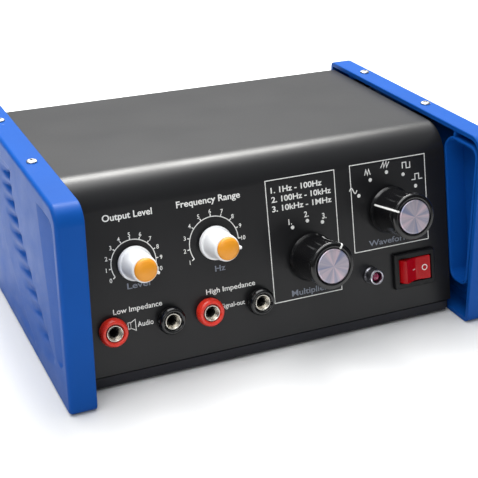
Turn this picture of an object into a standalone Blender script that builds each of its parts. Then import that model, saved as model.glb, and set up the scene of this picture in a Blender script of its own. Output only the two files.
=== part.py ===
"""Bench function generator. Metres, +Z up, front towards -Y, +X to the right."""
import math

import bpy
import bmesh
from mathutils import Matrix, Vector

for _old in list(bpy.data.objects):
    bpy.data.objects.remove(_old, do_unlink=True)

# ---- driving dimensions ----------------------------------------------------
GAP = 0.0003
FRONT_Y = -0.0674
DEPTH = 0.137
FRAME_HEIGHT = 0.088
FRAME_HALF = 0.0995
FLANGE_HALF = 0.088
FRAME_WALL = 0.0022
FLANGE_THICK = 0.0020
FRAME_LEAN = 0.002
FRAME_CORNER = 0.008
EDGE_ROUND = 0.0015

PANEL_TILT = math.radians(12.4)
PANEL_FOOT = 0.0119
PANEL_END = 0.0069
SHEET = 0.0012
BODY_HALF = 0.0874
BODY_TOP = 0.085
BODY_DEPTH = 0.132
BEND_RADIUS = 0.015
TRAY_BOTTOM = 0.0012
SIDE_OUTER = 0.0870

SLOT_FRONT = 0.0054
SLOT_BOTTOM = 0.0180
SLOT_TOP = 0.0815
TUBE_WALL = 0.0016
GRIP_SLOPE = math.radians(10.0)
GRIP_SKIN = 0.0018

LOUVRE_COUNT = 10
LOUVRE_PITCH = 0.0060
LOUVRE_LENGTH = 0.0150
LOUVRE_FIRST = 0.0190

OUTPUT_AT = (-0.0629, 0.0522)
FREQUENCY_AT = (-0.0273, 0.0544)
MULTIPLIER_AT = (0.0165, 0.0402)
WAVEFORM_AT = (0.0570, 0.0545)
JACK_V = 0.0253
JACK_U = (-0.0751, -0.0500, -0.0326, -0.0092)
LED_AT = (0.0458, 0.0265)
ROCKER_AT = (0.0679, 0.0244)

POT_SHAFT = 0.0027
SWITCH_SHAFT = 0.0030
OUTPUT_POINTER = math.radians(-24.0)
FREQUENCY_POINTER = math.radians(-8.0)
ROCKER_TILT = math.radians(-11.0)
ROCKER_PIVOT = -0.0004

SCREW_Y = (0.0553, 0.1118)
SCREW_X = 0.0937

TRAY_REAR = 0.1295
REAR_Y0 = 0.1299
REAR_Y1 = 0.1311
INLET_AT = (0.0540, 0.0280)
FUSE_AT = (0.0200, 0.0280)
BOARD_Z = 0.0100
CORE_AT = (0.0500, 0.0850)
CORE_LOW = TRAY_BOTTOM + SHEET + GAP

SIN_T = math.sin(PANEL_TILT)
COS_T = math.cos(PANEL_TILT)


# ---- frames of reference -----------------------------------------------------
def panel_matrix(u, v, h=0.0, spin=0.0):
    """Local X to the right, Y up the panel, Z out of the panel."""
    turn = Matrix((
        (1.0, 0.0, 0.0),
        (0.0, SIN_T, -COS_T),
        (0.0, COS_T, SIN_T),
    ))
    here = Vector((u, FRONT_Y + PANEL_FOOT, 0.0)) + turn @ Vector((0.0, v, h))
    return Matrix.Translation(here) @ turn.to_4x4() @ Matrix.Rotation(spin, 4, 'Z')


def yz(y, z):
    return (FRONT_Y + y, z)


# ---- materials ---------------------------------------------------------------
def material(name, color, metallic=0.0, roughness=0.5):
    made = bpy.data.materials.get(name) or bpy.data.materials.new(name)
    made.use_nodes = True
    shader = made.node_tree.nodes["Principled BSDF"]
    shader.inputs["Base Color"].default_value = (*color, 1.0)
    shader.inputs["Metallic"].default_value = metallic
    shader.inputs["Roughness"].default_value = roughness
    made.diffuse_color = (*color, 1.0)
    return made


PALETTE = {
    "grey_sheet": ((0.055, 0.055, 0.058), 0.6, 0.42),
    "tray_black": ((0.015, 0.015, 0.020), 0.0, 0.5),
    "blue_plastic": ((0.020, 0.110, 0.560), 0.0, 0.38),
    "zinc": ((0.62, 0.62, 0.60), 1.0, 0.35),
    "white_plastic": ((0.80, 0.80, 0.78), 0.0, 0.4),
    "orange_plastic": ((0.90, 0.42, 0.02), 0.0, 0.4),
    "black_plastic": ((0.012, 0.012, 0.013), 0.0, 0.25),
    "spun_aluminium": ((0.72, 0.70, 0.74), 1.0, 0.3),
    "red_plastic": ((0.72, 0.045, 0.020), 0.0, 0.3),
    "rocker_red": ((0.50, 0.008, 0.012), 0.0, 0.25),
    "chrome": ((0.70, 0.70, 0.72), 1.0, 0.12),
    "nickel": ((0.66, 0.64, 0.60), 1.0, 0.25),
    "red_lens": ((0.25, 0.010, 0.020), 0.0, 0.15),
    "board_green": ((0.020, 0.160, 0.060), 0.0, 0.45),
    "chip_black": ((0.020, 0.020, 0.022), 0.0, 0.5),
    "capacitor_blue": ((0.030, 0.050, 0.220), 0.0, 0.3),
    "core_steel": ((0.20, 0.19, 0.18), 0.8, 0.5),
    "winding_yellow": ((0.70, 0.50, 0.06), 0.0, 0.5),
    "brass": ((0.70, 0.48, 0.18), 1.0, 0.3),
}


def paint(obj, slot):
    obj.data.materials.clear()
    obj.data.materials.append(material(slot, *PALETTE[slot]))
    return obj


# ---- shape helpers -------------------------------------------------------------
PARTS = bpy.data.collections.new("function_generator")
CUTTERS = bpy.data.collections.new("cutters")
bpy.context.scene.collection.children.link(PARTS)
bpy.context.scene.collection.children.link(CUTTERS)
SIDEWAYS = Matrix(((0, 0, 1, 0), (1, 0, 0, 0), (0, 1, 0, 0), (0, 0, 0, 1)))
UPRIGHT = Matrix.Rotation(math.radians(90), 4, 'X')
BACKWARD = Matrix.Rotation(math.radians(-90), 4, 'X')


def place(name, data, matrix, cutter):
    obj = bpy.data.objects.new(name, data)
    home = CUTTERS if cutter else PARTS
    home.objects.link(obj)
    obj.matrix_world = matrix if matrix is not None else Matrix.Identity(4)
    if cutter:
        obj.hide_render = True
        obj.display_type = 'WIRE'
    return obj


def rounded(points, radii, steps=4):
    """Closed outline with each corner replaced by an arc."""
    out = []
    count = len(points)
    for i in range(count):
        here = Vector(points[i])
        before = (Vector(points[i - 1]) - here).normalized()
        after = (Vector(points[(i + 1) % count]) - here).normalized()
        radius = radii[i]
        if radius <= 0.0:
            out.append(tuple(here))
            continue
        half = before.angle(after) / 2.0
        reach = radius / math.tan(half)
        centre = here + (before + after).normalized() * (radius / math.sin(half))
        start = here + before * reach - centre
        end = here + after * reach - centre
        sweep = start.angle_signed(end)
        for k in range(steps + 1):
            arm = start.copy()
            arm.rotate(Matrix.Rotation(-sweep * k / steps, 2))
            out.append(tuple(centre + arm))
    return out


def curve_to_mesh(obj, name, cutter):
    bpy.context.view_layer.update()
    graph = bpy.context.evaluated_depsgraph_get()
    mesh = bpy.data.meshes.new_from_object(obj.evaluated_get(graph))
    shape = bmesh.new()
    shape.from_mesh(mesh)
    bmesh.ops.remove_doubles(shape, verts=shape.verts, dist=1e-6)
    bmesh.ops.dissolve_limit(shape, angle_limit=0.001, verts=shape.verts, edges=shape.edges)
    bmesh.ops.recalc_face_normals(shape, faces=shape.faces)
    shape.to_mesh(mesh)
    shape.free()
    matrix = obj.matrix_world.copy()
    bpy.data.objects.remove(obj, do_unlink=True)
    return place(name, mesh, matrix, cutter)


def prism(name, outline, low, high, matrix=None, cutter=False):
    """Flat outline in local X-Y, extruded along local Z from low to high."""
    curve = bpy.data.curves.new(name, 'CURVE')
    curve.dimensions = '2D'
    curve.fill_mode = 'BOTH'
    curve.extrude = abs(high - low) / 2
    spline = curve.splines.new('POLY')
    spline.points.add(len(outline) - 1)
    for point, (x, y) in zip(spline.points, outline):
        point.co = (x, y, 0.0, 1.0)
    spline.use_cyclic_u = True
    base = matrix if matrix is not None else Matrix.Identity(4)
    middle = base @ Matrix.Translation((0.0, 0.0, (low + high) / 2))
    return curve_to_mesh(place(name, curve, middle, cutter), name, cutter)


def side_prism(name, outline, x0, x1, cutter=False):
    """Outline in Y-Z, extruded along X."""
    return prism(name, outline, x0, x1, SIDEWAYS, cutter)


def box(name, low, high, cutter=False, matrix=None):
    size = [b - a for a, b in zip(low, high)]
    middle = [(a + b) / 2 for a, b in zip(low, high)]
    shape = bmesh.new()
    bmesh.ops.create_cube(shape, size=1.0)
    bmesh.ops.scale(shape, vec=size, verts=shape.verts)
    bmesh.ops.translate(shape, vec=middle, verts=shape.verts)
    mesh = bpy.data.meshes.new(name)
    shape.to_mesh(mesh)
    shape.free()
    return place(name, mesh, matrix, cutter)


def lathe(name, profile, matrix=None, segments=28, ring=False, cutter=False):
    """Profile of (radius, height) points turned round local Z."""
    count = len(profile)
    edges = [(k, k + 1) for k in range(count - 1)]
    if ring:
        edges.append((count - 1, 0))
    mesh = bpy.data.meshes.new(name)
    mesh.from_pydata([(r, 0.0, h) for r, h in profile], edges, [])
    obj = place(name, mesh, matrix, cutter)
    turn = obj.modifiers.new("turn", 'SCREW')
    turn.axis = 'Z'
    turn.angle = math.radians(360)
    turn.steps = segments
    turn.render_steps = segments
    turn.use_merge_vertices = True
    turn.merge_threshold = 0.00001
    return obj


def combine(obj, other, operation):
    step = obj.modifiers.new(operation.lower(), 'BOOLEAN')
    step.operation = operation
    step.solver = 'EXACT'
    step.object = other


def cut(obj, *cutters):
    for cutter in cutters:
        combine(obj, cutter, 'DIFFERENCE')
    return obj


def fuse(obj, *others):
    for other in others:
        combine(obj, other, 'UNION')
    return obj


def hole(matrix, radius, high, low, segments=16):
    profile = [(0, high), (radius, high), (radius, low), (0, low)]
    return lathe("hole", profile, matrix, segments, cutter=True)


# ---- case ------------------------------------------------------------------------
def body_profile(inset):
    """Top, bend and sloping front of the body, moved inwards by inset."""
    foot = PANEL_FOOT + inset / COS_T
    top = BODY_TOP - inset
    radius = BEND_RADIUS - inset
    reach = radius * math.tan((math.pi / 2 - PANEL_TILT) / 2)
    centre = (foot + top * SIN_T / COS_T + reach, top - radius)
    steps = 8
    path = [yz(BODY_DEPTH, top)]
    for k in range(steps + 1):
        angle = (math.pi / 2 - PANEL_TILT) * k / steps
        path.append(yz(centre[0] - radius * math.sin(angle), centre[1] + radius * math.cos(angle)))
    return path


def cover_sheet():
    low_z = PANEL_END * COS_T
    outer = body_profile(0.0)
    inner = body_profile(SHEET)
    outer.append(yz(PANEL_FOOT + PANEL_END * SIN_T, low_z))
    inner.append(yz(PANEL_FOOT + PANEL_END * SIN_T + SHEET * COS_T, low_z - SHEET * SIN_T))
    sheet = side_prism("cover_sheet", outer + inner[::-1], -BODY_HALF, BODY_HALF)
    cutters = [hole(panel_matrix(*OUTPUT_AT), 0.0042, 0.003, -0.004),
               hole(panel_matrix(*FREQUENCY_AT), 0.0042, 0.003, -0.004),
               hole(panel_matrix(*MULTIPLIER_AT), 0.0048, 0.003, -0.004),
               hole(panel_matrix(*WAVEFORM_AT), 0.0048, 0.003, -0.004),
               hole(panel_matrix(*LED_AT), 0.0031, 0.003, -0.004)]
    for u in JACK_U:
        cutters.append(hole(panel_matrix(u, JACK_V), 0.0048, 0.003, -0.004))
    cutters.append(box("opening", (-0.0098, -0.0068, -0.004), (0.0098, 0.0068, 0.003), True,
                       panel_matrix(*ROCKER_AT)))
    return paint(cut(sheet, *cutters), "grey_sheet")


def base_tray():
    top = PANEL_END * COS_T - 0.0006
    front = PANEL_FOOT + 0.0017
    floor = TRAY_BOTTOM
    outline = [yz(front, top), yz(front + 0.0006, floor), yz(TRAY_REAR, floor),
               yz(TRAY_REAR, 0.0075), yz(TRAY_REAR - SHEET, 0.0075),
               yz(TRAY_REAR - SHEET, floor + SHEET), yz(front + 0.0006 + SHEET, floor + SHEET),
               yz(front + SHEET, top)]
    return paint(side_prism("base_tray", outline, -0.0855, 0.0855), "tray_black")


def side_plate(name, side):
    path = body_profile(SHEET + GAP)
    low = 0.0016
    path[0] = yz(TRAY_REAR, path[0][1])
    path.append(yz(PANEL_FOOT + 0.0030, low))
    path.append(yz(TRAY_REAR, low))
    x0, x1 = sorted((SIDE_OUTER * side, (SIDE_OUTER - SHEET) * side))
    plate = side_prism(name, path, x0, x1)
    tabs = []
    holes = []
    for y in SCREW_Y:
        a, b = sorted(((SIDE_OUTER - 0.0004) * side, 0.0966 * side))
        tabs.append(box("tab", (a, FRONT_Y + y - 0.0060, 0.0820), (b, FRONT_Y + y + 0.0060, 0.0832),
                        True))
        holes.append(hole(Matrix.Translation((SCREW_X * side, FRONT_Y + y, 0.0)), 0.0019,
                          0.0850, 0.0800, 12))
    return paint(cut(fuse(plate, *tabs), *holes), "tray_black")


def rear_panel():
    plate = box("rear_panel", (-0.0868, FRONT_Y + REAR_Y0, 0.0016),
                (0.0868, FRONT_Y + REAR_Y1, BODY_TOP - SHEET - GAP))
    lo = FRONT_Y + REAR_Y0 - 0.002
    hi = FRONT_Y + REAR_Y1 + 0.002
    x, z = INLET_AT
    cutters = [box("opening", (x - 0.0140, lo, z - 0.0102), (x + 0.0140, hi, z + 0.0102), True),
               hole(rear_matrix(*FUSE_AT), 0.0064, 0.004, -0.006)]
    for k in range(6):
        x = -0.0720 + 0.0100 * k
        cutters.append(box("vent", (x, lo, 0.0300), (x + 0.0040, hi, 0.0640), True))
    return paint(cut(plate, *cutters), "tray_black")


def rear_matrix(x, z):
    """Local Z points out of the rear plate."""
    return Matrix.Translation((x, FRONT_Y + REAR_Y1 + GAP, z)) @ BACKWARD


# ---- end frames --------------------------------------------------------------------
def frame_outline(inset):
    points = [yz(inset, inset),
              yz(FRAME_LEAN + inset, FRAME_HEIGHT - inset),
              yz(DEPTH - inset, FRAME_HEIGHT - inset),
              yz(DEPTH - inset, inset)]
    radii = [0.0030, FRAME_CORNER, 0.0020, 0.0030]
    return rounded(points, [max(r - inset, 0.0008) for r in radii], 4)


def slot_outline(grow):
    """Grip recess: upright front edge, rear edge parallel to the sloping panel."""
    slope = SIN_T / COS_T
    low = SLOT_BOTTOM - grow
    high = SLOT_TOP + grow
    front = SLOT_FRONT - grow
    rear = PANEL_FOOT - 0.0002 + grow / COS_T
    points = [yz(front, low), yz(front + 0.0008, high), yz(rear + high * slope, high),
              yz(rear + low * slope, low)]
    radii = [0.0036, 0.0040, 0.0060, 0.0040]
    return rounded(points, [r + grow for r in radii], 4)


def grip_block(side, inward):
    """Everything outside the sloping floor of the grip recess, moved inward."""
    along = Vector((0.0, SIN_T, COS_T))
    flat = Vector((0.0, -COS_T, SIN_T))
    inwards = Vector((-side, 0.0, 0.0))
    down = flat * math.cos(GRIP_SLOPE) + inwards * math.sin(GRIP_SLOPE)
    out = flat * math.sin(GRIP_SLOPE) - inwards * math.cos(GRIP_SLOPE)
    turn = Matrix((along, down * side, out)).transposed().to_4x4()
    rear = FRONT_Y + PANEL_FOOT
    home = Matrix.Translation((side * (FRAME_HALF - inward), rear, 0.0))
    return box("block", (-0.03, -0.06, 0.0), (0.13, 0.06, 0.03), True, home @ turn)


def louvre_centre(k):
    s = k / (LOUVRE_COUNT - 1)
    return 0.0330 + 0.0460 * (1.0 - (1.0 - s) ** 1.7), LOUVRE_FIRST + LOUVRE_PITCH * k


def louvre(side, k):
    """Wedge pocket that ends in a slit at its upper edge."""
    y, z = louvre_centre(k)
    outer = (FRAME_HALF + 0.001) * side
    face = FRAME_HALF * side
    deep = (FRAME_HALF - 0.0015) * side
    inner = (FRAME_HALF - FRAME_WALL - 0.001) * side
    half = LOUVRE_LENGTH / 2 * (0.75 if k == 0 else 1.0)
    outline = [(outer, z - 0.0030), (face, z - 0.0026), (deep, z + 0.0004), (inner, z + 0.0004),
               (inner, z + 0.0020), (outer, z + 0.0020)]
    return prism("louvre", outline, -FRONT_Y - y - half, -FRONT_Y - y + half, UPRIGHT, True)


def soften_outer_edge(obj, x):
    """Bevel weights on the edges that lie in the outer face."""
    shape = bmesh.new()
    shape.from_mesh(obj.data)
    weight = shape.edges.layers.float.new("bevel_weight_edge")
    for edge in shape.edges:
        if all(abs((obj.matrix_world @ v.co).x - x) < 1e-5 for v in edge.verts):
            if len({round(f.normal.z, 2) for f in edge.link_faces}) > 1:
                edge[weight] = 1.0
    shape.to_mesh(obj.data)
    shape.free()
    step = obj.modifiers.new("edge", 'BEVEL')
    step.limit_method = 'WEIGHT'
    step.width = EDGE_ROUND
    step.segments = 2
    return obj


def end_frame(name, side):
    x0, x1 = sorted((FLANGE_HALF * side, FRAME_HALF * side))
    frame = side_prism(name, frame_outline(0.0), x0, x1)
    soften_outer_edge(frame, FRAME_HALF * side)
    x0, x1 = sorted(((FLANGE_HALF - 0.004) * side, (FRAME_HALF - FRAME_WALL) * side))
    cut(frame, side_prism("hollow", frame_outline(FLANGE_THICK), x0, x1, True))
    x0, x1 = sorted((FLANGE_HALF * side, (FRAME_HALF - 0.0008) * side))
    fuse(frame, side_prism("tube", slot_outline(TUBE_WALL), x0, x1, True))
    x0, x1 = sorted(((FLANGE_HALF - 0.004) * side, (FRAME_HALF + 0.004) * side))
    recess = side_prism("recess", slot_outline(-0.0006), x0, x1, True)
    combine(recess, grip_block(side, 0.0), 'INTERSECT')
    pocket = side_prism("pocket", slot_outline(0.0), x0, x1, True)
    cutters = [recess, cut(pocket, grip_block(side, GRIP_SKIN))]
    for k in range(LOUVRE_COUNT):
        cutters.append(louvre(side, k))
    for y in SCREW_Y:
        cutters.append(hole(Matrix.Translation((SCREW_X * side, FRONT_Y + y, 0.0)), 0.0019,
                            0.095, 0.080, 12))
    return paint(cut(frame, *cutters), "blue_plastic")


def frame_screw(name, side, y):
    profile = [(0, 0.0007), (0.0019, 0.0006), (0.0023, 0.0003), (0.0023, 0.0), (0.0015, 0.0),
               (0.0015, -0.0080), (0, -0.0080)]
    turn = Matrix.Translation((SCREW_X * side, FRONT_Y + y, FRAME_HEIGHT + GAP))
    return paint(lathe(name, profile, turn, 14), "zinc")


def rear_screw(name, x):
    profile = [(0, 0.0014), (0.0018, 0.0012), (0.0026, 0.0004), (0.0026, 0.0), (0, 0.0)]
    return paint(lathe(name, profile, rear_matrix(x, 0.0430), 14), "zinc")


# ---- rotary controls -----------------------------------------------------------------
def white_knob(name, at, pointer):
    profile = [(0, 0.0136), (0.0041, 0.0136), (0.0041, 0.0148), (0.0052, 0.0148), (0.0054, 0.0142),
               (0.0063, 0.0042), (0.0064, 0.0034), (0.0071, 0.0030), (0.0072, 0.0012),
               (0.0070, 0.0010), (0.0060, 0.0010), (0.0060, 0.0040), (0.0030, 0.0040),
               (0.0030, 0.0122), (0, 0.0122)]
    matrix = panel_matrix(at[0], at[1], 0.0, pointer)
    knob = lathe(name, profile, matrix, 24)
    outline = [(0.0049, 0.0138), (0.0061, 0.0030), (0.0068, 0.0018), (0.0073, 0.0034),
               (0.0066, 0.0136), (0.0060, 0.0142)]
    fin = prism("fin", outline, -0.0006, 0.0006, matrix @ UPRIGHT, True)
    return paint(fuse(knob, fin), "white_plastic")


def white_cap(name, at, pointer):
    profile = [(0, 0.0172), (0.0028, 0.0170), (0.0042, 0.0164), (0.0048, 0.0156), (0.0048, 0.0151),
               (0.0038, 0.0151), (0.0038, 0.0139), (0, 0.0139)]
    return paint(lathe(name, profile, panel_matrix(at[0], at[1], 0.0, pointer), 20),
                 "orange_plastic")


def shaft(name, at, radius, low, high):
    profile = [(0, high), (radius - 0.0003, high), (radius, high - 0.0003), (radius, low), (0, low)]
    return paint(lathe(name, profile, panel_matrix(*at), 12), "nickel")


def pot(name, at):
    behind = -SHEET - GAP
    bore = POT_SHAFT + GAP
    profile = [(0, -0.0068), (bore, -0.0068), (bore, 0.0032), (0.0039, 0.0032), (0.0039, behind),
               (0.0083, behind), (0.0083, -0.0095), (0, -0.0095)]
    return paint(lathe(name, profile, panel_matrix(*at), 16), "nickel")


def rotary_switch(name, at):
    behind = -SHEET - GAP
    bore = SWITCH_SHAFT + GAP
    profile = [(0, -0.0080), (bore, -0.0080), (bore, 0.0036), (0.0045, 0.0036), (0.0045, behind),
               (0.0120, behind), (0.0120, -0.0130), (0, -0.0130)]
    return paint(lathe(name, profile, panel_matrix(*at), 16), "black_plastic")


def hex_nut(name, at, bore, across, low, high):
    outline = [(across * math.cos(math.radians(60 * k)), across * math.sin(math.radians(60 * k)))
               for k in range(6)]
    matrix = panel_matrix(*at)
    nut = prism(name, outline, low, high, matrix)
    return paint(cut(nut, hole(matrix, bore, high + 0.002, low - 0.002, 12)), "nickel")


def black_knob(name, at):
    profile = [(0, 0.0202), (0.0077, 0.0202), (0.0077, 0.0211), (0.0080, 0.0213), (0.0095, 0.0212),
               (0.0101, 0.0206), (0.0101, 0.0185), (0.0097, 0.0120), (0.0096, 0.0060),
               (0.0098, 0.0042), (0.0106, 0.0024), (0.0107, 0.0012), (0.0105, 0.0010),
               (0.0070, 0.0010), (0.0070, 0.0050), (0.0033, 0.0050), (0.0033, 0.0170), (0, 0.0170)]
    return paint(lathe(name, profile, panel_matrix(*at), 28), "black_plastic")


def black_cap(name, at):
    profile = [(0, 0.0219), (0.0070, 0.0219), (0.0074, 0.0216), (0.0074, 0.0205), (0, 0.0205)]
    return paint(lathe(name, profile, panel_matrix(*at), 28), "spun_aluminium")


# ---- sockets, lamp, rocker ---------------------------------------------------------------
def jack(name, u, slot):
    bore = 0.0037
    profile = [(bore, 0.0034), (0.0042, 0.0042), (0.0048, 0.0044), (0.0055, 0.0039),
               (0.0060, 0.0028), (0.0060, GAP), (0.0045, GAP), (0.0045, -0.0130), (bore, -0.0130)]
    return paint(lathe(name, profile, panel_matrix(u, JACK_V), 20, ring=True), slot)


def contact(name, u):
    profile = [(0, -0.0140), (0.0021, -0.0140), (0.0021, 0.0022), (0.0028, 0.0040),
               (0.0031, 0.0041), (0.0034, 0.0039), (0.0034, -0.0165), (0, -0.0165)]
    return paint(lathe(name, profile, panel_matrix(u, JACK_V), 16), "nickel")


def led_bezel():
    profile = [(0.0024, 0.0058), (0.0027, 0.0061), (0.0032, 0.0060), (0.0034, 0.0056),
               (0.0035, 0.0012), (0.0038, 0.0010), (0.0038, GAP), (0.0028, GAP),
               (0.0028, -0.0060), (0.0024, -0.0060)]
    return paint(lathe("led_bezel", profile, panel_matrix(*LED_AT), 18, ring=True), "chrome")


def led_lens():
    profile = [(0, 0.0042), (0.0012, 0.0039), (0.0019, 0.0030), (0.0021, 0.0018),
               (0.0021, -0.0080), (0, -0.0080)]
    return paint(lathe("led_lens", profile, panel_matrix(*LED_AT), 14), "red_lens")


def rocker_bezel():
    matrix = panel_matrix(*ROCKER_AT)
    w, h = 0.0107, 0.0083
    outline = rounded([(-w, -h), (w, -h), (w, h), (-w, h)], [0.0010] * 4, 2)
    bezel = prism("rocker_bezel", outline, GAP, 0.0022, matrix)
    well = box("well", (-0.0094, -0.0064, -0.0120), (0.0094, 0.0064, 0.0010), True, matrix)
    mouth = box("mouth", (-0.0085, -0.0058, -0.0100), (0.0085, 0.0058, 0.0050), True, matrix)
    return paint(cut(fuse(bezel, well), mouth), "black_plastic")


def rocker_button():
    radius = 0.0082
    angles = [math.radians(a) for a in (31, 20, 8, -6, -18)]
    right = [(radius * math.cos(a), radius * math.sin(a)) for a in angles]
    crown = [(x, 0.0023 + 0.0019 * (x / 0.0070) ** 2) for x in (-0.0045, -0.0022, 0, 0.0022, 0.0045)]
    outline = right + [(0.0045, -0.0048), (-0.0045, -0.0048)]
    outline += [(-x, z) for x, z in right[::-1]] + crown
    tilt = Matrix.Rotation(-ROCKER_TILT, 4, 'Y')
    matrix = panel_matrix(ROCKER_AT[0], ROCKER_AT[1], ROCKER_PIVOT) @ tilt @ UPRIGHT
    return paint(prism("rocker_button", outline, -0.0054, 0.0054, matrix), "rocker_red")


def rocker_terminal(name, x):
    tab = box(name, (x - 0.0004, -0.0024, -0.0190), (x + 0.0004, 0.0024, -0.0123),
              matrix=panel_matrix(*ROCKER_AT))
    return paint(tab, "brass")


# ---- inside and rear ------------------------------------------------------------------------
def main_board():
    top = BOARD_Z + 0.0016
    board = box("main_board", (-0.0800, FRONT_Y + 0.0480, BOARD_Z),
                (0.0150, FRONT_Y + 0.1150, top))
    parts = []
    for x, y, w, d in ((-0.060, 0.062, 0.020, 0.007), (-0.060, 0.082, 0.020, 0.007),
                       (-0.028, 0.062, 0.026, 0.008), (-0.028, 0.084, 0.010, 0.007),
                       (-0.006, 0.062, 0.010, 0.007)):
        parts.append(box("chip", (x - w / 2, FRONT_Y + y - d / 2, top - 0.0005),
                         (x + w / 2, FRONT_Y + y + d / 2, top + 0.0045), True))
    for x in (-0.0750, 0.0100):
        for y in (0.0530, 0.1100):
            turn = Matrix.Translation((x, FRONT_Y + y, 0.0))
            parts.append(hole(turn, 0.0030, BOARD_Z + 0.0005, TRAY_BOTTOM + SHEET + GAP, 10))
    return paint(fuse(board, *parts), "board_green")


def filter_capacitor():
    tall = 0.0210
    profile = [(0, tall), (0.0059, tall), (0.0065, tall - 0.0006), (0.0065, 0), (0, 0)]
    turn = Matrix.Translation((0.0040, FRONT_Y + 0.0980, BOARD_Z + 0.0016 + GAP))
    return paint(lathe("filter_capacitor", profile, turn, 16), "capacitor_blue")


def heat_sink():
    z0 = BOARD_Z + 0.0016 + GAP
    base = box("heat_sink", (-0.0350, FRONT_Y + 0.1060, z0), (-0.0250, FRONT_Y + 0.1080, 0.0350))
    fins = [box("fin", (x, FRONT_Y + 0.0990, z0), (x + 0.0010, FRONT_Y + 0.1065, 0.0350), True)
            for x in (-0.0350, -0.0320, -0.0290, -0.0260)]
    return paint(fuse(base, *fins), "spun_aluminium")


def transformer_core():
    x, y = CORE_AT
    core = box("transformer_core", (x - 0.0240, FRONT_Y + y - 0.0090, CORE_LOW),
               (x + 0.0240, FRONT_Y + y + 0.0090, CORE_LOW + 0.0400))
    windows = [box("window", (cx - 0.0040, FRONT_Y + y - 0.0150, CORE_LOW + 0.0080),
                   (cx + 0.0040, FRONT_Y + y + 0.0150, CORE_LOW + 0.0320), True)
               for cx in (x - 0.0120, x + 0.0120)]
    return paint(cut(core, *windows), "core_steel")


def transformer_winding():
    x, y = CORE_AT
    low, high = CORE_LOW + 0.0083, CORE_LOW + 0.0317
    coil = box("transformer_winding", (x - 0.0157, FRONT_Y + y - 0.0170, low),
               (x + 0.0157, FRONT_Y + y + 0.0170, high))
    eye = box("core_hole", (x - 0.0083, FRONT_Y + y - 0.0093, low - 0.002),
              (x + 0.0083, FRONT_Y + y + 0.0093, high + 0.002), True)
    return paint(cut(coil, eye), "winding_yellow")


def mains_inlet():
    """Inlet with its three blades standing on the floor of the socket."""
    matrix = rear_matrix(*INLET_AT)
    inlet = box("mains_inlet", (-0.0160, -0.0120, 0.0), (0.0160, 0.0120, 0.0020), matrix=matrix)
    well = box("well", (-0.0135, -0.0098, -0.0200), (0.0135, 0.0098, 0.0010), True, matrix)
    mouth = box("mouth", (-0.0120, -0.0080, -0.0150), (0.0120, 0.0080, 0.0060), True, matrix)
    pins = [box("pin", (dx - 0.0010, dz - 0.0020, -0.0160), (dx + 0.0010, dz + 0.0020, -0.0010),
                True, matrix) for dx, dz in ((-0.0070, 0.0020), (0.0070, 0.0020), (0.0, -0.0030))]
    return paint(fuse(cut(fuse(inlet, well), mouth), *pins), "black_plastic")


def fuse_holder():
    profile = [(0, -0.0235), (0.0055, -0.0235), (0.0055, 0.0020), (0.0080, 0.0016), (0.0080, 0.0),
               (0.0060, 0.0), (0.0060, -0.0250), (0, -0.0250)]
    return paint(lathe("fuse_holder", profile, rear_matrix(*FUSE_AT), 18), "black_plastic")


def fuse_holder_cap():
    profile = [(0, 0.0042), (0.0046, 0.0042), (0.0050, 0.0038), (0.0052, 0.0005), (0.0052, -0.0150),
               (0, -0.0150)]
    matrix = rear_matrix(*FUSE_AT)
    cap = lathe("fuse_holder_cap", profile, matrix, 18)
    groove = box("groove", (-0.0060, -0.0006, 0.0030), (0.0060, 0.0006, 0.0060), True, matrix)
    return paint(cut(cap, groove), "chip_black")


# ---- build -----------------------------------------------------------------------------------
cover_sheet()
base_tray()
side_plate("side_plate_left", -1)
side_plate("side_plate_right", 1)
rear_panel()
end_frame("end_frame_left", -1)
end_frame("end_frame_right", 1)
frame_screw("frame_screw_left_front", -1, SCREW_Y[0])
frame_screw("frame_screw_left_rear", -1, SCREW_Y[1])
frame_screw("frame_screw_right_front", 1, SCREW_Y[0])
frame_screw("frame_screw_right_rear", 1, SCREW_Y[1])
rear_screw("rear_screw_left", -0.0800)
rear_screw("rear_screw_right", 0.0800)

for _name, _at, _pointer in (("output", OUTPUT_AT, OUTPUT_POINTER),
                             ("frequency", FREQUENCY_AT, FREQUENCY_POINTER)):
    white_knob(_name + "_knob", _at, _pointer)
    white_cap(_name + "_knob_cap", _at, _pointer)
    shaft(_name + "_pot_shaft", _at, POT_SHAFT, -0.0065, 0.0119)
    pot(_name + "_pot", _at)
    hex_nut(_name + "_pot_nut", _at, 0.0042, 0.0056, GAP, 0.0024)

for _name, _at in (("multiplier", MULTIPLIER_AT), ("waveform", WAVEFORM_AT)):
    black_knob(_name + "_knob", _at)
    black_cap(_name + "_knob_cap", _at)
    shaft(_name + "_switch_shaft", _at, SWITCH_SHAFT, -0.0077, 0.0167)
    rotary_switch(_name + "_switch", _at)
    hex_nut(_name + "_switch_nut", _at, 0.0048, 0.0065, GAP, 0.0026)

for _name, _u, _slot in (("low_red", JACK_U[0], "red_plastic"),
                         ("low_black", JACK_U[1], "black_plastic"),
                         ("high_red", JACK_U[2], "red_plastic"),
                         ("high_black", JACK_U[3], "black_plastic")):
    jack("socket_" + _name, _u, _slot)
    contact("contact_" + _name, _u)
    hex_nut("socket_nut_" + _name, (_u, JACK_V), 0.0048, 0.0066, -SHEET - GAP - 0.0024,
            -SHEET - GAP)

led_bezel()
led_lens()
rocker_bezel()
rocker_button()
rocker_terminal("rocker_terminal_left", -0.0060)
rocker_terminal("rocker_terminal_right", 0.0060)

main_board()
filter_capacitor()
heat_sink()
transformer_core()
transformer_winding()
mains_inlet()
fuse_holder()
fuse_holder_cap()
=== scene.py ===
"""Looks of the bench function generator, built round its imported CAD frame. Metres, +Z up."""
import math

import bmesh
import bpy
import numpy as np
from mathutils import Matrix, Vector


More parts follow.
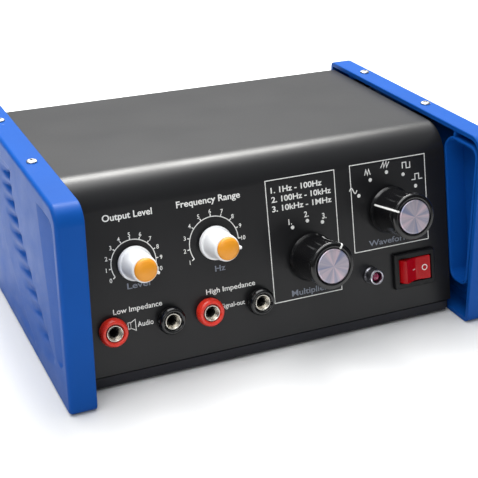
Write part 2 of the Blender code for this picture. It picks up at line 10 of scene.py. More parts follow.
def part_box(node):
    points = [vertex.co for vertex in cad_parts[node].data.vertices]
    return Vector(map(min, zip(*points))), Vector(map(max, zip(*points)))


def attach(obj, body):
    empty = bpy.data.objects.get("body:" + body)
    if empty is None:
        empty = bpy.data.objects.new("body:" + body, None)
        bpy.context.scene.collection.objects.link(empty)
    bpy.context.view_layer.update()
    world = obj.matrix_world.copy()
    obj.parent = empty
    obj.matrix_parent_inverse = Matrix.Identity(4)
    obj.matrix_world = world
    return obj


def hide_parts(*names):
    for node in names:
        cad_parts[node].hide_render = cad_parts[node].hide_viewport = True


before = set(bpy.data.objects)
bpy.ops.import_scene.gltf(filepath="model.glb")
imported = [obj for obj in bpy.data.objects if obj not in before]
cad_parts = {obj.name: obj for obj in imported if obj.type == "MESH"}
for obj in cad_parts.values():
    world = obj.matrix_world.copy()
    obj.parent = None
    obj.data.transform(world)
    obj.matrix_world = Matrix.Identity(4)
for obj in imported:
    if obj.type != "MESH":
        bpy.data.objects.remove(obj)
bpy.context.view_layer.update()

MM = 0.001
GAP = 0.3  # mm between neighbouring parts
UNIT = 0.00088  # artwork grid of the panel print, m
TILT = math.radians(12.4)
SIN_T, COS_T = math.sin(TILT), math.cos(TILT)
SHEET = 0.0012
FRONT_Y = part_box("end_frame_left")[0].y
REAR_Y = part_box("end_frame_left")[1].y
FRAME_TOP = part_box("end_frame_left")[1].z
FRAME_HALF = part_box("end_frame_right")[1].x
FLANGE_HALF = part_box("end_frame_right")[0].x
COVER_LOW, COVER_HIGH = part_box("cover_sheet")
FOOT_Z = COVER_LOW.z + SHEET * SIN_T
FOOT_Y = COVER_LOW.y - FOOT_Z * SIN_T / COS_T


# ---- frames of reference ---------------------
def mm(*points):
    """Points given in millimetres, as metres."""
    return [tuple(value * MM for value in point) for point in points]


def panel_matrix(u, v, h=0.0, spin=0.0):
    """Local X to the right, Y up the sloping panel, Z out of it."""
    turn = Matrix(((1.0, 0.0, 0.0), (0.0, SIN_T, -COS_T), (0.0, COS_T, SIN_T)))
    here = Vector((u, FOOT_Y, 0.0)) + turn @ Vector((0.0, v, h))
    return Matrix.Translation(here) @ turn.to_4x4() @ Matrix.Rotation(spin, 4, 'Z')


def panel_place(node):
    """(u, v) of the middle of a CAD node on the panel."""
    low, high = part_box(node)
    local = panel_matrix(0.0, 0.0).inverted() @ ((low + high) / 2)
    return local.x, local.y


OUTPUT_AT = panel_place("output_pot_shaft")
FREQUENCY_AT = panel_place("frequency_pot_shaft")
MULTIPLIER_AT = panel_place("multiplier_switch_shaft")
WAVEFORM_AT = panel_place("waveform_switch_shaft")
LED_AT = panel_place("led_lens")
ROCKER_AT = panel_place("rocker_bezel")
JACK_AT = {name: panel_place("contact_" + name)
           for name in ("low_red", "low_black", "high_red", "high_black")}


# ---- materials -------------------------------
def preset(node, **values):
    """Set a node's inputs; an underscore stands for a space in a name."""
    for key, value in values.items():
        node.inputs[key.replace("_", " ")].default_value = value


class Look:
    """One procedural material; every texture is laid out in object space."""

    def __init__(self, name, metallic=0.0, coat=0.0, coat_rough=0.1, specular=0.5, anisotropic=0.0):
        self.made = bpy.data.materials.new(name)
        self.made.use_nodes = True
        self.tree = self.made.node_tree
        self.shader = self.tree.nodes["Principled BSDF"]
        preset(self.shader, Metallic=metallic, Coat_Weight=coat, Coat_Roughness=coat_rough,
               Specular_IOR_Level=specular, Anisotropic=anisotropic)
        self.coords = self.node("TexCoord").outputs["Object"]

    def node(self, kind, **settings):
        made = self.tree.nodes.new("ShaderNode" + kind)
        for key, value in settings.items():
            setattr(made, key, value)
        return made

    def link(self, source, target):
        self.tree.links.new(source, target)

    def feed(self, socket, value):
        """Give a socket a number, a colour or another node's output."""
        if isinstance(value, (int, float)):
            socket.default_value = value
        elif isinstance(value, tuple):
            socket.default_value = (*value, 1.0)
        else:
            self.link(value, socket)

    def noise(self, scale, detail=3.0, stretch=None, rough=0.55):
        made = self.node("TexNoise")
        preset(made, Scale=scale, Detail=detail, Roughness=rough)
        source = self.coords
        if stretch:
            mapping = self.node("Mapping")
            preset(mapping, Scale=stretch)
            self.link(source, mapping.inputs["Vector"])
            source = mapping.outputs["Vector"]
        self.link(source, made.inputs["Vector"])
        return made.outputs["Fac"]

    def ramp(self, source, stops):
        made = self.node("ValToRGB")
        ramp = made.color_ramp
        while len(ramp.elements) < len(stops):
            ramp.elements.new(0.5)
        for element, (place, value) in zip(ramp.elements, stops):
            element.position = place
            rgb = value if isinstance(value, tuple) else (value,) * 3
            element.color = (*rgb, 1.0)
        self.link(source, made.inputs["Fac"])
        return made.outputs["Color"]

    def span(self, source, low, high, at=(0.3, 0.7)):
        made = self.node("MapRange")
        preset(made, From_Min=at[0], From_Max=at[1], To_Min=low, To_Max=high)
        self.link(source, made.inputs["Value"])
        return made.outputs["Result"]

    def mix(self, factor, first, second, kind='MIX'):
        made = self.node("Mix", data_type='RGBA', blend_type=kind)
        for index, value in ((0, factor), (6, first), (7, second)):
            self.feed(made.inputs[index], value)
        return made.outputs[2]

    def maths(self, operation, first, second):
        made = self.node("Math", operation=operation)
        for index, value in enumerate((first, second)):
            self.feed(made.inputs[index], value)
        return made.outputs["Value"]

    def bump(self, height, strength, distance, before=None):
        made = self.node("Bump")
        preset(made, Strength=strength, Distance=distance)
        self.link(height, made.inputs["Height"])
        if before is not None:
            self.link(before, made.inputs["Normal"])
        return made.outputs["Normal"]

    def colour(self, source):
        self.link(source, self.shader.inputs["Base Color"])

    def roughness(self, source):
        self.link(source, self.shader.inputs["Roughness"])

    def normal(self, source):
        self.link(source, self.shader.inputs["Normal"])


def shade(colour, amount):
    return tuple(min(1.0, c * amount) for c in colour)


def moulded(name, colour, rough, grain=2200.0, depth=0.12, vary=0.10, **settings):
    """Moulded plastic: fine spark grain, slow colour drift and handling marks in the gloss."""
    look = Look(name, **settings)
    drift = look.noise(35.0, 4.0)
    fine = look.noise(grain, 2.0)
    base = look.ramp(drift, [(0.30, shade(colour, 1.0 - vary)), (0.70, shade(colour, 1.0 + vary))])
    specks = look.span(look.noise(grain * 0.6, 1.0), 0.0, 0.12, (0.66, 0.74))
    look.colour(look.mix(specks, base, shade(colour, 0.72)))
    rub = look.noise(90.0, 4.0)
    look.roughness(look.maths('ADD', look.span(rub, rough - 0.03, rough + 0.05),
                              look.span(fine, -0.02, 0.03)))
    waves = look.bump(look.noise(160.0, 2.0), 0.10, 0.0002)
    look.normal(look.bump(fine, depth, 0.00006, waves))
    return look.made


def coated_sheet(name, colour, rough, texture=0.13):
    """Sheet steel under satin enamel: orange peel, faint rolling lines and dust."""
    look = Look(name, specular=0.33)
    peel = look.noise(1400.0, 3.0)
    drift = look.noise(14.0, 4.0)
    base = look.ramp(drift, [(0.28, shade(colour, 0.90)), (0.72, shade(colour, 1.12))])
    dust = look.span(look.noise(3600.0, 1.0), 0.0, 0.18, (0.68, 0.76))
    look.colour(look.mix(dust, base, shade(colour, 2.6)))
    wipe = look.noise(45.0, 4.0, (0.7, 1.0, 1.0))
    look.roughness(look.maths('ADD', look.span(wipe, rough - 0.02, rough + 0.03),
                              look.span(peel, -0.03, 0.03)))
    rolled = look.bump(look.noise(140.0, 2.0, (0.6, 1.0, 1.0)), 0.03, 0.0002)
    look.normal(look.bump(peel, texture, 0.00005, rolled))
    return look.made


def plated(name, colour, rough, scratch=900.0, tarnish=0.82):
    """Plated or bare metal with fine scratches and slightly duller patches."""
    look = Look(name, metallic=1.0)
    patches = look.noise(260.0, 4.0)
    look.colour(look.ramp(patches, [(0.32, shade(colour, tarnish)), (0.62, colour)]))
    lines = look.noise(scratch, 3.0, (1.0, 1.0, 6.0))
    look.roughness(look.maths('ADD', look.span(patches, rough + 0.10, rough - 0.02),
                              look.span(lines, -0.04, 0.06)))
    look.normal(look.bump(lines, 0.08, 0.00004))
    return look.made


def spun(name, colour):
    """Face of a knob cap turned on a lathe: rings in the bump, and fans of painted reflection (warm
    and cool tints in the colour) round the middle.
    """
    look = Look(name, metallic=1.0, anisotropic=0.60)
    separate = look.node("SeparateXYZ")
    look.link(look.coords, separate.inputs["Vector"])
    angle = look.maths('ARCTAN2', separate.outputs["Y"], separate.outputs["X"])
    fan = look.node("TexNoise", noise_dimensions='1D')
    preset(fan, Scale=1.7, Detail=3.0)
    look.link(angle, fan.inputs["W"])
    # Warm and cool tints swept round the axis: painted reflection of the studio in the base colour,
    # not a colour of the metal.
    reflection_warm, reflection_cool = (0.56, 0.44, 0.50), (0.22, 0.24, 0.36)
    painted_reflection = look.ramp(fan.outputs["Fac"], [(0.34, reflection_cool), (0.50, colour), (0.66, reflection_warm)])
    rings = look.node("TexWave", wave_type='RINGS', rings_direction='Z')
    preset(rings, Scale=1500.0, Distortion=0.6)
    look.link(look.coords, rings.inputs["Vector"])
    look.colour(look.mix(look.span(rings.outputs["Fac"], 0.0, 0.16, (0.0, 1.0)), painted_reflection,
                         shade(colour, 0.62)))
    look.roughness(look.span(fan.outputs["Fac"], 0.34, 0.44))
    look.normal(look.bump(rings.outputs["Fac"], 0.10, 0.00003))
    tangent = look.node("Tangent", direction_type='RADIAL', axis='Z')
    look.link(tangent.outputs["Tangent"], look.shader.inputs["Tangent"])
    return look.made


def printed(name, colour):
    """Screen-printed ink with a slightly uneven film."""
    look = Look(name, specular=0.35)
    film = look.noise(900.0, 4.0)
    look.colour(look.ramp(film, [(0.30, shade(colour, 0.80)), (0.60, colour)]))
    look.roughness(look.span(film, 0.45, 0.60))
    look.normal(look.bump(film, 0.10, 0.00003))
    return look.made


def lens(name, colour):
    """Tinted clear plastic over the lamp."""
    look = Look(name, coat=0.6, coat_rough=0.05)
    preset(look.shader, Transmission_Weight=0.35, IOR=1.5)
    depth = look.noise(500.0, 2.0)
    look.colour(look.ramp(depth, [(0.3, shade(colour, 0.6)), (0.7, colour)]))
    look.roughness(look.span(depth, 0.08, 0.16))
    return look.made


def laminate(name, colour, trace):
    """Circuit board: solder mask with copper runs under it."""
    look = Look(name, coat=0.4, coat_rough=0.2)
    runs = look.node("TexBrick")
    preset(runs, Scale=90.0, Mortar_Size=0.06)
    look.link(look.coords, runs.inputs["Vector"])
    look.colour(look.mix(runs.outputs["Fac"], colour, trace))
    look.roughness(look.span(look.noise(300.0, 3.0), 0.30, 0.48))
    look.normal(look.bump(runs.outputs["Fac"], 0.3, 0.0001))
    return look.made


def wound(name, colour):
    """Varnished wire or stacked plates: close parallel lines along one axis."""
    look = Look(name, coat=0.3, coat_rough=0.25)
    lines = look.node("TexWave", wave_type='BANDS', bands_direction='Z')
    preset(lines, Scale=420.0, Distortion=0.8)
    look.link(look.coords, lines.inputs["Vector"])
    look.colour(look.ramp(lines.outputs["Fac"], [(0.1, shade(colour, 0.45)), (0.6, colour)]))
    look.roughness(look.span(look.noise(400.0, 3.0), 0.35, 0.55))
    look.normal(look.bump(lines.outputs["Fac"], 0.5, 0.00015))
    return look.made


BODY_PAINT = coated_sheet("body_paint", (0.0085, 0.0085, 0.0095), 0.35)
# Base tray and side plates: darker and bluer than the body. This is partly their own black paint
# and partly painted shade for the dark navy band under the front panel's lower edge.
TRAY_PAINT_AND_SHADE = coated_sheet("tray_paint_and_shade", (0.0065, 0.0070, 0.0120), 0.42, texture=0.35)
REAR_PAINT = coated_sheet("rear_paint", (0.0150, 0.0150, 0.0160), 0.45, texture=0.40)
BLUE = moulded("blue_moulding", (0.0030, 0.0640, 0.3000), 0.42, vary=0.05, specular=0.08)
BLACK = moulded("black_gloss", (0.0040, 0.0040, 0.0045), 0.13, grain=2600.0, depth=0.05,
                specular=0.50)
BLACK_SATIN = moulded("black_satin", (0.0045, 0.0045, 0.0050), 0.34, depth=0.20, specular=0.25)
WHITE = moulded("white_knob", (0.78, 0.79, 0.80), 0.34, grain=1800.0, depth=0.10, vary=0.04)
ORANGE = moulded("orange_cap", (0.70, 0.27, 0.008), 0.42, grain=1100.0, depth=0.45, vary=0.10)
RED = moulded("red_collar", (0.66, 0.028, 0.014), 0.28, depth=0.08)
ROCKER_RED = moulded("rocker_red", (0.40, 0.002, 0.005), 0.22, grain=2600.0, depth=0.05,
                     vary=0.08, specular=0.22)
ZINC = plated("zinc", (0.70, 0.70, 0.68), 0.28)
NICKEL = plated("nickel", (0.72, 0.69, 0.63), 0.20)
CHROME = plated("chrome", (0.50, 0.50, 0.55), 0.24, tarnish=0.70)
BRASS = plated("brass", (0.72, 0.50, 0.20), 0.30)
SPUN = spun("spun_face", (0.40, 0.37, 0.43))
INK = printed("white_ink", (0.80, 0.80, 0.78))
FAINT_INK = printed("faint_ink", (0.20, 0.22, 0.27))
LENS = lens("red_lens", (0.42, 0.020, 0.110))
BOARD = laminate("board_green", (0.010, 0.090, 0.030), (0.030, 0.170, 0.050))
WINDING = wound("winding_tape", (0.62, 0.42, 0.05))
CORE = wound("core_plates", (0.10, 0.095, 0.090))
SLEEVE = moulded("capacitor_sleeve", (0.015, 0.030, 0.160), 0.25, coat=0.3)


# ---- mesh helpers ----------------------------
def rounded(points, radii, steps=8):
    """Closed outline with each corner replaced by an arc."""
    out = []
    count = len(points)
    for i in range(count):
        here = Vector(points[i])
        before = (Vector(points[i - 1]) - here).normalized()
        after = (Vector(points[(i + 1) % count]) - here).normalized()
        half = before.angle(after) / 2.0
        reach = radii[i] / math.tan(half)
        centre = here + (before + after).normalized() * (radii[i] / math.sin(half))
        start = here + before * reach - centre
        end = here + after * reach - centre
        sweep = start.angle_signed(end)
        for k in range(steps + 1):
            arm = start.copy()
            arm.rotate(Matrix.Rotation(-sweep * k / steps, 2))
            out.append(tuple(centre + arm))
    return out


def add(name, data):
    obj = bpy.data.objects.new(name, data)
    bpy.context.scene.collection.objects.link(obj)
    return obj


def as_object(name, shape, matrix=None):
    bmesh.ops.recalc_face_normals(shape, faces=shape.faces)
    mesh = bpy.data.meshes.new(name)
    shape.to_mesh(mesh)
    shape.free()
    obj = add(name, mesh)
    if matrix is not None:
        obj.matrix_world = matrix
    return obj


def paint(obj, look):
    obj.data.materials.clear()
    obj.data.materials.append(look)


def evaluated(obj):
    """Mesh of an object with its modifiers applied."""
    bpy.context.view_layer.update()
    graph = bpy.context.evaluated_depsgraph_get()
    return bpy.data.meshes.new_from_object(obj.evaluated_get(graph))


def wall(shape, low, high):
    """Faces between two rings of vertices."""
    for i in range(len(low)):
        j = (i + 1) % len(low)
        shape.faces.new((low[i], low[j], high[j], high[i]))


def loft(name, sections, matrix=None):
    """Closed solid through rings of 3-D points, with flat ends."""
    shape = bmesh.new()
    rings = [[shape.verts.new(p) for p in ring] for ring in sections]
    for low, high in zip(rings, rings[1:]):
        wall(shape, low, high)
    shape.faces.new(rings[0][::-1])
    shape.faces.new(rings[-1])
    return as_object(name, shape, matrix)


def turned(name, profile, matrix=None, segments=96, ring=False):
    """Profile of (radius, height) points turned round local Z."""
    shape = bmesh.new()
    turns = [2 * math.pi * k / segments for k in range(segments)]
    loops = []
    for r, h in profile:
        if r < 1e-7:
            loops.append([shape.verts.new((0.0, 0.0, h))])
        else:
            loops.append([shape.verts.new((r * math.cos(a), r * math.sin(a), h)) for a in turns])
    pairs = list(zip(loops, loops[1:]))
    if ring:
        pairs.append((loops[-1], loops[0]))
    for a, b in pairs:
        for i in range(segments):
            j = (i + 1) % segments
            corners = [a[i % len(a)], a[j % len(a)], b[j % len(b)], b[i % len(b)]]
            corners = [c for n, c in enumerate(corners) if c not in corners[:n]]
            if len(corners) > 2:
                shape.faces.new(corners)
    return as_object(name, shape, matrix)


def eased(profile, radius, steps=4, open_ends=True):
    """Profile with its corners rounded by at most the given radius."""
    out = [profile[0]] if open_ends else []
    inner = range(1, len(profile) - 1) if open_ends else range(len(profile))
    for i in inner:
        here = Vector(profile[i])
        before = Vector(profile[i - 1]) - here
        after = Vector(profile[(i + 1) % len(profile)]) - here
        if before.length < 1e-9 or after.length < 1e-9:
            continue
        half = before.angle(after) / 2
        if half > math.radians(86):
            out.append(tuple(here))
            continue
        reach = min(radius / math.tan(half), before.length * 0.45, after.length * 0.45)
        start, end = here + before.normalized() * reach, here + after.normalized() * reach
        for k in range(steps + 1):
            t = k / steps
            point = start * (1 - t) ** 2 + here * (2 * t * (1 - t)) + end * t ** 2
            out.append(tuple(point))
    if open_ends:
        out.append(profile[-1])
    return out


def combine(obj, *others, operation='DIFFERENCE'):
    for other in others:
        step = obj.modifiers.new("cut", 'BOOLEAN')
        step.operation = operation
        step.solver = 'EXACT'
        step.object = other
    mesh = evaluated(obj)
    obj.modifiers.clear()
    obj.data = mesh
    for other in others:
        bpy.data.objects.remove(other, do_unlink=True)
    return obj


def finish(obj, look, body, nodes=(), angle=32.0, weighted=True):
    """Smooth shading with kept edges, then material, body and the CAD nodes it stands for."""
    shape = bmesh.new()
    shape.from_mesh(obj.data)
    bmesh.ops.remove_doubles(shape, verts=shape.verts, dist=2e-7)
    bmesh.ops.dissolve_degenerate(shape, dist=1e-7, edges=shape.edges)
    for face in shape.faces:
        face.smooth = True
    for edge in shape.edges:
        edge.smooth = len(edge.link_faces) == 2 and edge.calc_face_angle(0.0) < math.radians(angle)
    shape.to_mesh(obj.data)
    shape.free()
    paint(obj, look)
    if weighted:
        step = obj.modifiers.new("normals", 'WEIGHTED_NORMAL')
        step.keep_sharp = True
    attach(obj, body)
    if nodes:
        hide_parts(*nodes)
    return obj


def tool_box(low, high, matrix=None):
    shape = bmesh.new()
    bmesh.ops.create_cube(shape, size=1.0)
    bmesh.ops.scale(shape, vec=[b - a for a, b in zip(low, high)], verts=shape.verts)
    bmesh.ops.translate(shape, vec=[(a + b) / 2 for a, b in zip(low, high)], verts=shape.verts)
    return as_object("tool", shape, matrix)


def tool_round(matrix, radius, high, low, segments=64):
    return turned("tool", [(0, high), (radius, high), (radius, low), (0, low)], matrix, segments)


# ---- cover -----------------------------------
BEND_RADIUS = 0.015
BODY_HALF = COVER_HIGH.x
BODY_TOP = COVER_HIGH.z
POT_HOLE, SWITCH_HOLE, LAMP_HOLE, SOCKET_HOLE = 0.0042, 0.0048, 0.0031, 0.0048  # radii
ROCKER_HOLE = 0.0098, 0.0068  # half width and half height
CUT_TOP, CUT_LOW = 0.003, -0.004  # a cutter's ends, above and below the panel face


def body_path(inset, steps=28):
    """Side view of the sheet from its rear edge over the bend, (y, z)."""
    foot = FOOT_Y + inset / COS_T
    top = BODY_TOP - inset
    radius = BEND_RADIUS - inset
    reach = radius * math.tan((math.pi / 2 - TILT) / 2)
    centre = (foot + top * SIN_T / COS_T + reach, top - radius)
    path = [(COVER_HIGH.y, top)]
    for k in range(steps + 1):
        angle = (math.pi / 2 - TILT) * k / steps
        path.append((centre[0] - radius * math.sin(angle), centre[1] + radius * math.cos(angle)))
    return path


def make_cover():
    """The sheet that folds from the top into the sloping panel, with the panel's holes."""
    outer = body_path(0.0)
    inner = body_path(SHEET)
    foot = (FOOT_Y + FOOT_Z * SIN_T / COS_T, FOOT_Z)
    outer.append(foot)
    inner.append((foot[0] + SHEET * COS_T, foot[1] - SHEET * SIN_T))
    edge = 0.0003
    middle = [((a[0] + b[0]) / 2, (a[1] + b[1]) / 2) for a, b in zip(outer, inner)]

    def ring(x, shrink):
        points = [(o[0] + (m[0] - o[0]) * shrink, o[1] + (m[1] - o[1]) * shrink)
                  for o, m in zip(outer, middle)]
        points += [(i[0] + (m[0] - i[0]) * shrink, i[1] + (m[1] - i[1]) * shrink)
                   for i, m in zip(inner[::-1], middle[::-1])]
        return [(x, y, z) for y, z in points]

    steps = ((0.0, 0.5), (edge / 3, 0.15), (edge, 0.0))
    sections = [ring(-BODY_HALF + x, shrink) for x, shrink in steps]
    sections += [ring(BODY_HALF - x, shrink) for x, shrink in steps[::-1]]
    cover = loft("cover_skin", sections)
    holes = ((OUTPUT_AT, POT_HOLE), (FREQUENCY_AT, POT_HOLE), (MULTIPLIER_AT, SWITCH_HOLE),
             (WAVEFORM_AT, SWITCH_HOLE), (LED_AT, LAMP_HOLE))
    holes += tuple((at, SOCKET_HOLE) for at in JACK_AT.values())
    tools = [tool_round(panel_matrix(*at), radius, CUT_TOP, CUT_LOW) for at, radius in holes]
    wide, tall = ROCKER_HOLE
    tools.append(tool_box((-wide, -tall, CUT_LOW), (wide, tall, CUT_TOP),
                          panel_matrix(*ROCKER_AT)))
    combine(cover, *tools)
    finish(cover, BODY_PAINT, "case", ["cover_sheet"])


# ---- end frames ------------------------------
EDGE_ROUND = 0.0018
FRAME_WALL = 0.0022
TUBE_WALL = 0.0016
PANEL_FOOT = FOOT_Y - FRONT_Y
SLOPE = SIN_T / COS_T
SLOT_LOW, SLOT_HIGH, SLOT_FRONT = 0.0180, 0.0815, 0.0054
SLOT_REAR = PANEL_FOOT - 0.0002
SLOT_LEAN, FRAME_LEAN = 0.0008, 0.002  # how far the front edges lean back to the top
FRAME_RADII = (0.0030, 0.0080, 0.0020, 0.0030)
SLOT_RADII = (0.0036, 0.0040, 0.0060, 0.0040)
WINDOW_DEEP, GROOVE_DEEP = 0.00195, 0.0060
PAST = 0.002  # how far a cutter runs past the face it opens
SKIN = 0.0019  # thickness of the sculpted outer skin
RIB_LOW, RIB_HIGH = (0.0221, 0.0826), (0.0234, 0.0866)
DEPTH = REAR_Y - FRONT_Y


def frame_outline(inset):
    top, rear = FRAME_TOP - inset, DEPTH - inset
    points = [(inset, inset), (FRAME_LEAN + inset, top), (rear, top), (rear, inset)]
    radii = [max(r - inset, 0.0006) for r in FRAME_RADII]
    return [(FRONT_Y + y, z) for y, z in rounded(points, radii, 10)]


def slot_outline(grow):
    low, high = SLOT_LOW - grow, SLOT_HIGH + grow
    front, rear = SLOT_FRONT - grow, SLOT_REAR + grow / COS_T
    points = [(front, low), (front + SLOT_LEAN, high), (rear + high * SLOPE, high),
              (rear + low * SLOPE, low)]
    radii = [r + grow for r in SLOT_RADII]
    return [(FRONT_Y + y, z) for y, z in rounded(points, radii, 10)]


def across(x, outline):
    return [(x, y, z) for y, z in outline]


def arc(radius, steps):
    """(along, inwards) steps of a quarter round, from the side wall to the face."""
    for k in range(steps + 1):
        a = math.pi / 2 * k / steps
        yield radius * math.sin(a), radius * (1 - math.cos(a))


# The band of scoops on the outer face; y is measured from the front, z from the floor.
# s runs up the band, one unit over all the scoops, and t runs across it, front edge to rear edge.
SCOOPS = 9
RIDGE = 2.05  # where the pressed slope comes back to the face, in t
SLOPE_DEPTH, CREASE_DEPTH, REAR_DEPTH = 0.0013, 0.0021, 0.0009
GRIP_ANGLE, GRIP_CORNER = math.radians(10), 0.0045


def band_front(s):
    """Front edge of the band; it bows forwards towards the foot."""
    return 0.0250 + 0.0490 * (1 - np.clip(1 - s, 0, 2) ** 1.5)


def band_rear(s):
    """Rear edge of the band."""
    return 0.0415 + 0.0480 * (1 - np.clip(1 - s, 0, 2) ** 1.9)


def smooth(value, low, high):
    t = np.clip((value - low) / (high - low), 0, 1)
    return t * t * (3 - 2 * t)


def scoop_depth(y, z):
    """How far the outer face is pressed in at (y, z)."""
    t = np.full_like(y, 0.5)  # s and t depend on each other: settled in small steps
    for _ in range(24):
        s = (z - 0.0210 + 0.0045 * t) / (0.0533 + 0.0032 * t)
        s = np.clip(s, -0.3, 1.3)
        t = 0.5 * t + 0.5 * np.clip((y - band_front(s)) / (band_rear(s) - band_front(s)), -2, 5)
    place = s * SCOOPS
    phase = place - np.floor(place)
    bulge = np.sin(math.pi * phase ** 1.55) ** 0.75
    start = -0.05 - 0.10 * bulge
    inside = smooth(t, start, start + 0.09)
    ends = smooth(place, -1.15, -0.35) * (1 - smooth(place, 9.35, 10.1))
    slope = SLOPE_DEPTH * np.clip(1 - t / RIDGE, 0, 1.1) * inside
    crease = CREASE_DEPTH * (1 - bulge) * smooth(t, -0.04, 0.30) * (1 - smooth(t, 0.45, 1.35))
    behind = REAR_DEPTH * smooth(t, RIDGE, RIDGE + 0.16)
    return (slope + crease * inside) * ends + behind * ends * (1 - smooth(t, RIDGE + 0.2, 4.6))


def slot_front(z):
    return SLOT_FRONT + SLOT_LEAN * (z - SLOT_LOW) / (SLOT_HIGH - SLOT_LOW)


def groove_depth(y, z):
    """Blind grip groove: its floor slopes down from the sloping panel to a steep front wall."""
    ahead, behind = y - slot_front(z), (SLOT_REAR + SLOPE * z - y) * COS_T
    upright = np.minimum(z - SLOT_LOW, SLOT_HIGH - z)
    inside = GRIP_CORNER - np.hypot(np.maximum(GRIP_CORNER - ahead, 0),
                                    np.maximum(GRIP_CORNER - upright, 0))
    soft = 0.0004 + 0.0009 * (1 - smooth(z, SLOT_LOW + 0.001, SLOT_LOW + 0.009))
    floor = np.maximum(behind, 0)
    floor = math.tan(GRIP_ANGLE) * floor * floor / (floor + 0.0006)
    return floor * smooth(inside, -0.0004, soft)


def scoop_panel(side, name):
    """Skin set flush in the outer face; it carries the grip groove and the scoops."""
    low, high, rear = 0.0050, 0.0838, DEPTH - 0.0060
    z = np.linspace(low, high, 230)[:, None]
    front = slot_front(z) - 0.0009
    middle = SLOT_REAR + SLOPE * z + 0.0010
    steep = 0.0026
    y = np.hstack([front + steep * np.linspace(0, 1, 18)[None, :-1],
                   front + steep + (middle - front - steep) * np.linspace(0, 1, 34)[None, :-1],
                   middle + (rear - middle) * np.linspace(0, 1, 205)[None, :]])
    z = np.broadcast_to(z, y.shape)
    rows, columns = y.shape
    depth = scoop_depth(y, z) * smooth(y - middle, 0.0, 0.0070)
    rim = np.minimum(np.minimum(y - front, rear - y), np.minimum(z - low, high - z))
    depth = depth * smooth(rim, 0.0, 0.0050) + groove_depth(y, z) * smooth(rim, 0.0, 0.0003)
    skin = np.stack([side * (FRAME_HALF - depth), y + FRONT_Y, z], -1).reshape(-1, 3)
    back = skin.copy()
    back[:, 0] -= side * SKIN
    edge = list(range(columns))
    edge += [r * columns + columns - 1 for r in range(1, rows)]
    edge += [(rows - 1) * columns + c for c in range(columns - 2, -1, -1)]
    edge += [r * columns for r in range(rows - 2, 0, -1)]
    shape = bmesh.new()
    layers = [[shape.verts.new(p) for p in points.tolist()] for points in (skin, back)]
    for layer, verts in enumerate(layers):
        for r in range(rows - 1):
            for c in range(columns - 1):
                i = r * columns + c
                face = (verts[i], verts[i + 1], verts[i + columns + 1], verts[i + columns])
                shape.faces.new(face[::-1] if layer else face)
    top, under = layers
    for k, i in enumerate(edge):
        j = edge[(k + 1) % len(edge)]
        shape.faces.new((top[i], under[i], under[j], top[j]))
    panel = as_object(name, shape)
    finish(panel, BLUE, "case", angle=60.0, weighted=False)

    def border(first, inset):
        corners = [(first[0], low + inset), (first[-1], high - inset), (rear - inset, high - inset),
                   (rear - inset, low + inset)]
        return [(FRONT_Y + float(a), b) for a, b in corners]

    return border(front[:, 0], 0.0), border(middle[:, 0] + 0.0020, 0.0010)


def make_end_frame(side, word):
    window, deep_window = scoop_panel(side, "end_frame_" + word + "_scoops")
    face, inner = FRAME_HALF * side, FLANGE_HALF * side
    ease = 0.0003
    outer = [across(inner, frame_outline(ease)), across(inner + ease * side, frame_outline(0.0))]
    outer += [across(face - side * (EDGE_ROUND - along), frame_outline(inwards))
              for along, inwards in arc(EDGE_ROUND, 6)]
    frame_piece = loft("end_frame_" + word + "_shell", outer)
    hollow = loft("tool", [across(inner - 0.004 * side, frame_outline(0.0020)),
                           across(face - FRAME_WALL * side, frame_outline(0.0024))])
    combine(frame_piece, hollow)
    lip = 0.0007

    def slot_rings(*stops):
        return [across(x, slot_outline(grow)) for x, grow in stops]

    tube = slot_rings((inner, TUBE_WALL - lip), (inner + side * lip * 0.3, TUBE_WALL - lip * 0.35),
                      (inner + side * lip, TUBE_WALL), (face - 0.0008 * side, TUBE_WALL))
    ends = sorted((inner + ease * side, face - 0.0010 * side))
    rib = tool_box((ends[0], FRONT_Y + RIB_LOW[0], RIB_LOW[1]),
                   (ends[1], FRONT_Y + RIB_HIGH[0], RIB_HIGH[1]))
    combine(frame_piece, loft("tool", tube), rib, operation='UNION')
    slot = slot_rings((inner - PAST * side, lip), (inner, lip),
                      (inner + side * lip * 0.35, lip * 0.3), (inner + side * lip, 0.0),
                      (face - side * 0.0018, 0.0))
    openings = [loft("tool", [across(face - deep * side, outline),
                              across(face + PAST * side, outline)])
                for outline, deep in ((window, WINDOW_DEEP), (deep_window, GROOVE_DEEP))]
    combine(frame_piece, loft("tool", slot), *openings)
    finish(frame_piece, BLUE, "case", ["end_frame_" + word], angle=35.0)


# ---- screws ----------------------------------
def screw(name, node, matrix, radius, height):
    profile = [(0, height), (radius * 0.70, height * 0.96), (radius * 0.93, height * 0.72),
               (radius, height * 0.3), (radius, 0.0), (0, 0.0)]
    head = turned(name, eased(profile, 0.0003), matrix, 48)
    arm, thin = radius * 0.62, 0.0003  # half sizes of the bars of the cross slot
    low, high = height * 0.45, height + 0.001
    bars = [tool_box((-arm, -thin, low), (arm, thin, high), matrix),
            tool_box((-thin, -arm, low), (thin, arm, high), matrix)]
    combine(head, *bars)
    finish(head, ZINC, "case", [node])


def make_screws():
    for word in ("left_front", "left_rear", "right_front", "right_rear"):
        node = "frame_screw_" + word
        low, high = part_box(node)
        middle = (low + high) / 2
        turn = math.radians(37 if "rear" in word else 12)
        at = Matrix.Translation((middle.x, middle.y, FRAME_TOP)) @ Matrix.Rotation(turn, 4, 'Z')
        screw(node + "_head", node, at, 0.0023, high.z - FRAME_TOP)
    for word in ("left", "right"):
        node = "rear_screw_" + word
        low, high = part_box(node)
        middle = (low + high) / 2
        at = Matrix.Translation((middle.x, low.y, middle.z))
        at = at @ Matrix.Rotation(math.radians(-90), 4, 'X') @ Matrix.Rotation(0.4, 4, 'Z')
        screw(node + "_head", node, at, 0.0026, high.y - low.y)


